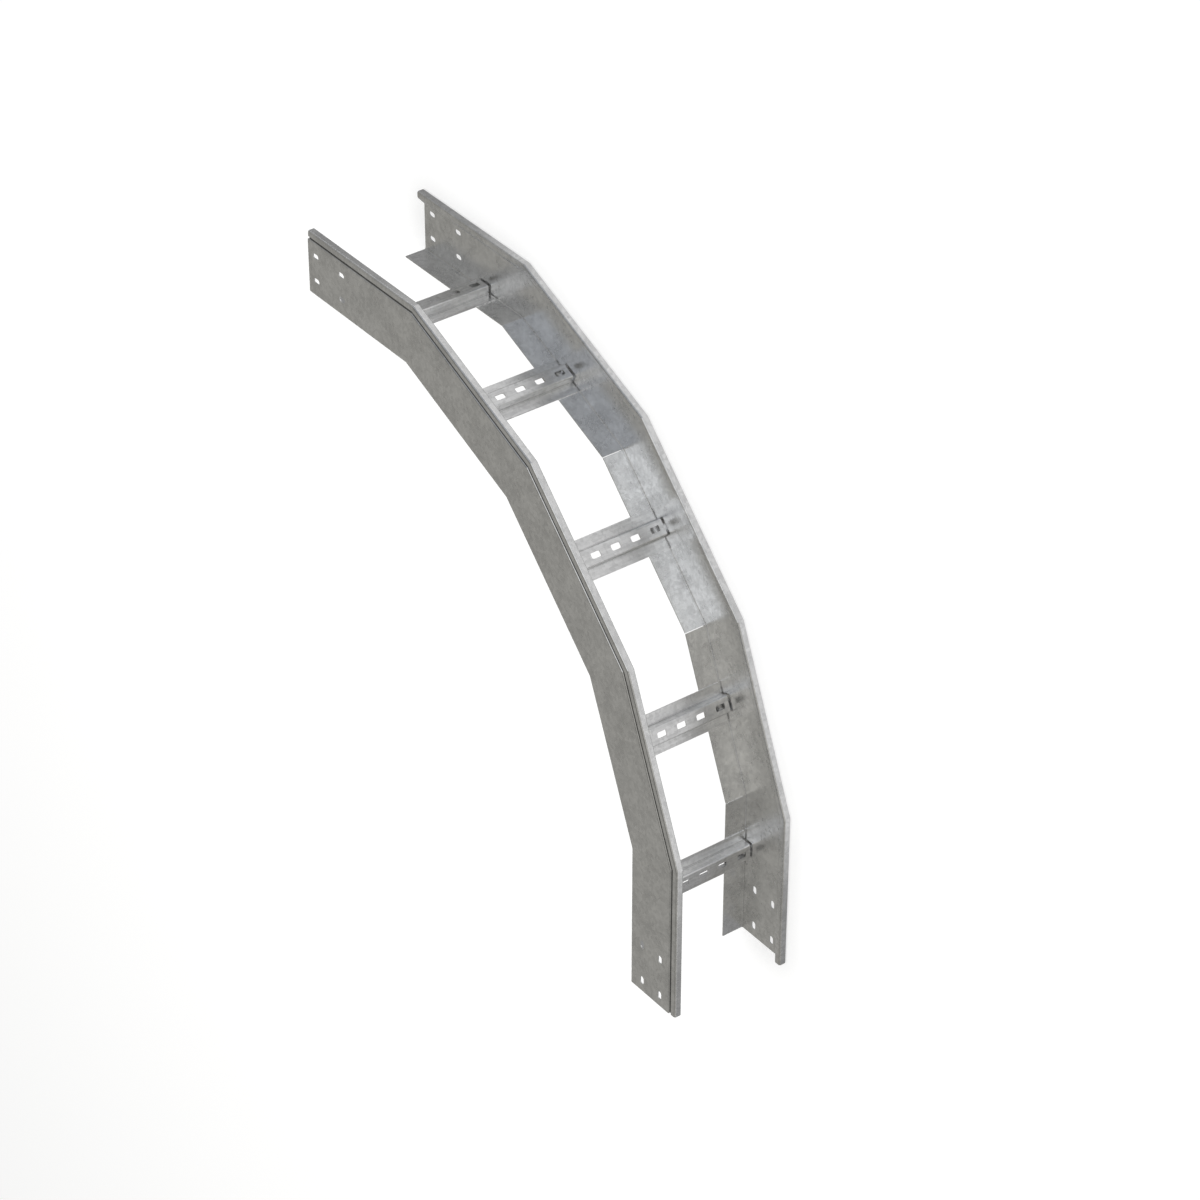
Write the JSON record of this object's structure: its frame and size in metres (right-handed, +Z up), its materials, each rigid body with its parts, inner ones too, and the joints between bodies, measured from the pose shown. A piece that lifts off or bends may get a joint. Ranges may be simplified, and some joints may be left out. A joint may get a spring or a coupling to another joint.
{
  "type": "cable ladder bend",
  "caption": "Galvanised steel cable ladder bend that turns a cable run through a right angle, with folded side rails in mitred straights and slotted hat-section rungs.",
  "frame": {"origin": "middle of the footprint, on the floor", "axes": "+Z up, from the side rail that lies on the floor to the other one; the first leg runs along X and the last leg along Y, and the cables lie on the outer side of the curve, towards +X and -Y"},
  "size_m": [0.856, 0.856, 0.2],
  "materials": {
    "rail_zinc": "hot-dip galvanised sheet",
    "rung_zinc": "hot-dip galvanised sheet"
  },
  "bodies": {
    "root": {"right_rail_1": "rail_zinc", "right_rail_2": "rail_zinc", "right_rail_3": "rail_zinc", "right_rail_4": "rail_zinc", "right_rail_5": "rail_zinc", "left_rail_1": "rail_zinc", "left_rail_2": "rail_zinc", "left_rail_3": "rail_zinc", "left_rail_4": "rail_zinc", "left_rail_5": "rail_zinc", "rung_1": "rung_zinc", "rung_2": "rung_zinc", "rung_3": "rung_zinc", "rung_4": "rung_zinc", "rung_5": "rung_zinc"}
  },
  "joints": []
}
